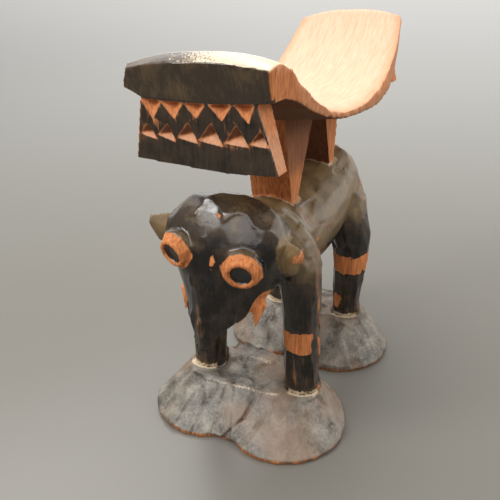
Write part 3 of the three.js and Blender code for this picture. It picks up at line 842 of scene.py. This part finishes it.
def painted_board():
    """The grey painted board under the piece: satin, so that it takes up the bright room at a low angle."""
    material = bpy.data.materials.new("painted_board")
    material.use_nodes = True
    shader = material.node_tree.nodes["Principled BSDF"]
    shader.inputs["Base Color"].default_value = srgb("#726f68")
    shader.inputs["Roughness"].default_value = 0.3
    return material


# The stage

AZIMUTH, ELEVATION, CAMERA_ROLL = (math.radians(a) for a in (28.54, 25.13, -1.5))
CAMERA_TARGET = Vector((-9.1, -17.3, 66.6)) * MM
CAMERA_DISTANCE = 264.8 * MM
LENS_TO_SENSOR = 1.24

# Each light's place and the point that it faces, in metres, then its width and height and its watts.
LIGHTS = {
    "overhead": ((-0.03, 0.06, 0.66), (0, 0, 0.1), (0.32, 0.26), 1.8),
    "front": ((0.02, -0.58, 0.75), (0, 0, 0.07), (0.8, 0.6), 4.2),
    "behind": ((-0.44, 0.28, 0.82), (0, -0.04, 0.12), (0.8, 0.7), 5),
    "window": ((-0.31, -0.38, 0.57), (0, -0.06, 0.095), (0.16, 0.12), 1.8),
    "side": ((0.62, 0.2, 0.45), (0, 0, 0.06), (0.5, 0.4), 2),
}


def stand_camera():
    """Stands the camera where the photo was taken."""
    back = Vector((
        math.sin(AZIMUTH) * math.cos(ELEVATION),
        -math.cos(AZIMUTH) * math.cos(ELEVATION),
        math.sin(ELEVATION),
    ))
    level = Vector((math.cos(AZIMUTH), math.sin(AZIMUTH), 0))
    rise = back.cross(level)
    right = math.cos(CAMERA_ROLL) * level + math.sin(CAMERA_ROLL) * rise
    top = math.cos(CAMERA_ROLL) * rise - math.sin(CAMERA_ROLL) * level
    data = bpy.data.cameras.new("camera")
    data.lens = LENS_TO_SENSOR * data.sensor_width
    data.clip_start = 0.01
    camera = bpy.data.objects.new("camera", data)
    bpy.context.scene.collection.objects.link(camera)
    turned = Matrix((right, top, back)).transposed().to_4x4()
    camera.matrix_world = Matrix.Translation(CAMERA_TARGET + back * CAMERA_DISTANCE) @ turned
    bpy.context.scene.camera = camera


def hang_light(name, place, aim, size, power):
    data = bpy.data.lights.new(name, "AREA")
    data.shape = "RECTANGLE"
    data.size, data.size_y = size
    data.energy = power
    lamp = bpy.data.objects.new(name, data)
    bpy.context.scene.collection.objects.link(lamp)
    lamp.location = place
    lamp.rotation_euler = (Vector(aim) - Vector(place)).to_track_quat("-Z", "Y").to_euler()


def light_room():
    """A pale room, brightest low down and beyond the piece, which the floor takes up at a low angle."""
    world = bpy.data.worlds.new("studio")
    bpy.context.scene.world = world
    world.use_nodes = True
    tree = world.node_tree
    facing = add(tree, "ShaderNodeTexCoord").outputs["Generated"]
    height = add(tree, "ShaderNodeSeparateXYZ", [("Vector", facing)])
    low = add(tree, "ShaderNodeMapRange", [
        ("Value", height.outputs["Z"]), ("From Min", 0.12), ("From Max", 0.5), ("To Min", 1), ("To Max", 0)])
    far = add(tree, "ShaderNodeMapRange", [
        ("Value", height.outputs["Y"]), ("From Min", 0.1), ("From Max", 0.9),
        ("To Min", 0), ("To Max", 2.12)])
    bright = add(tree, "ShaderNodeMath", [(0, low.outputs[0]), (1, far.outputs[0]), (2, 0.42)],
                 operation="MULTIPLY_ADD")
    sky = tree.nodes["Background"]
    sky.inputs["Color"].default_value = srgb("#f6f5f2")
    tree.links.new(bright.outputs[0], sky.inputs["Strength"])


def build_stage():
    deselect()
    bpy.ops.mesh.primitive_plane_add(size=60, location=(0, 0, 0))
    floor = bpy.context.active_object
    floor.name = "floor"
    floor.data.materials.append(painted_board())
    floor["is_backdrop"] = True
    light_room()
    for name, (place, aim, size, power) in LIGHTS.items():
        hang_light(name, place, aim, size, power)
    bpy.context.scene.view_settings.view_transform = "Standard"


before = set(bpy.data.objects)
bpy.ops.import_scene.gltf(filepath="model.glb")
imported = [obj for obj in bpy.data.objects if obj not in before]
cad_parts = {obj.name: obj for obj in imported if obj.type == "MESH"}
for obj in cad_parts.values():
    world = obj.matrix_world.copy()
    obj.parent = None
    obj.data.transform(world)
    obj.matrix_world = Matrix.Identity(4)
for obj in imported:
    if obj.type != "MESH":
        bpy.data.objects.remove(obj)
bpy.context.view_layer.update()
stand_camera()
build_stage()

piece = carving()
piece.data.materials.append(stained_hardwood())
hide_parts("carved_headrest")
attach(piece, "root")
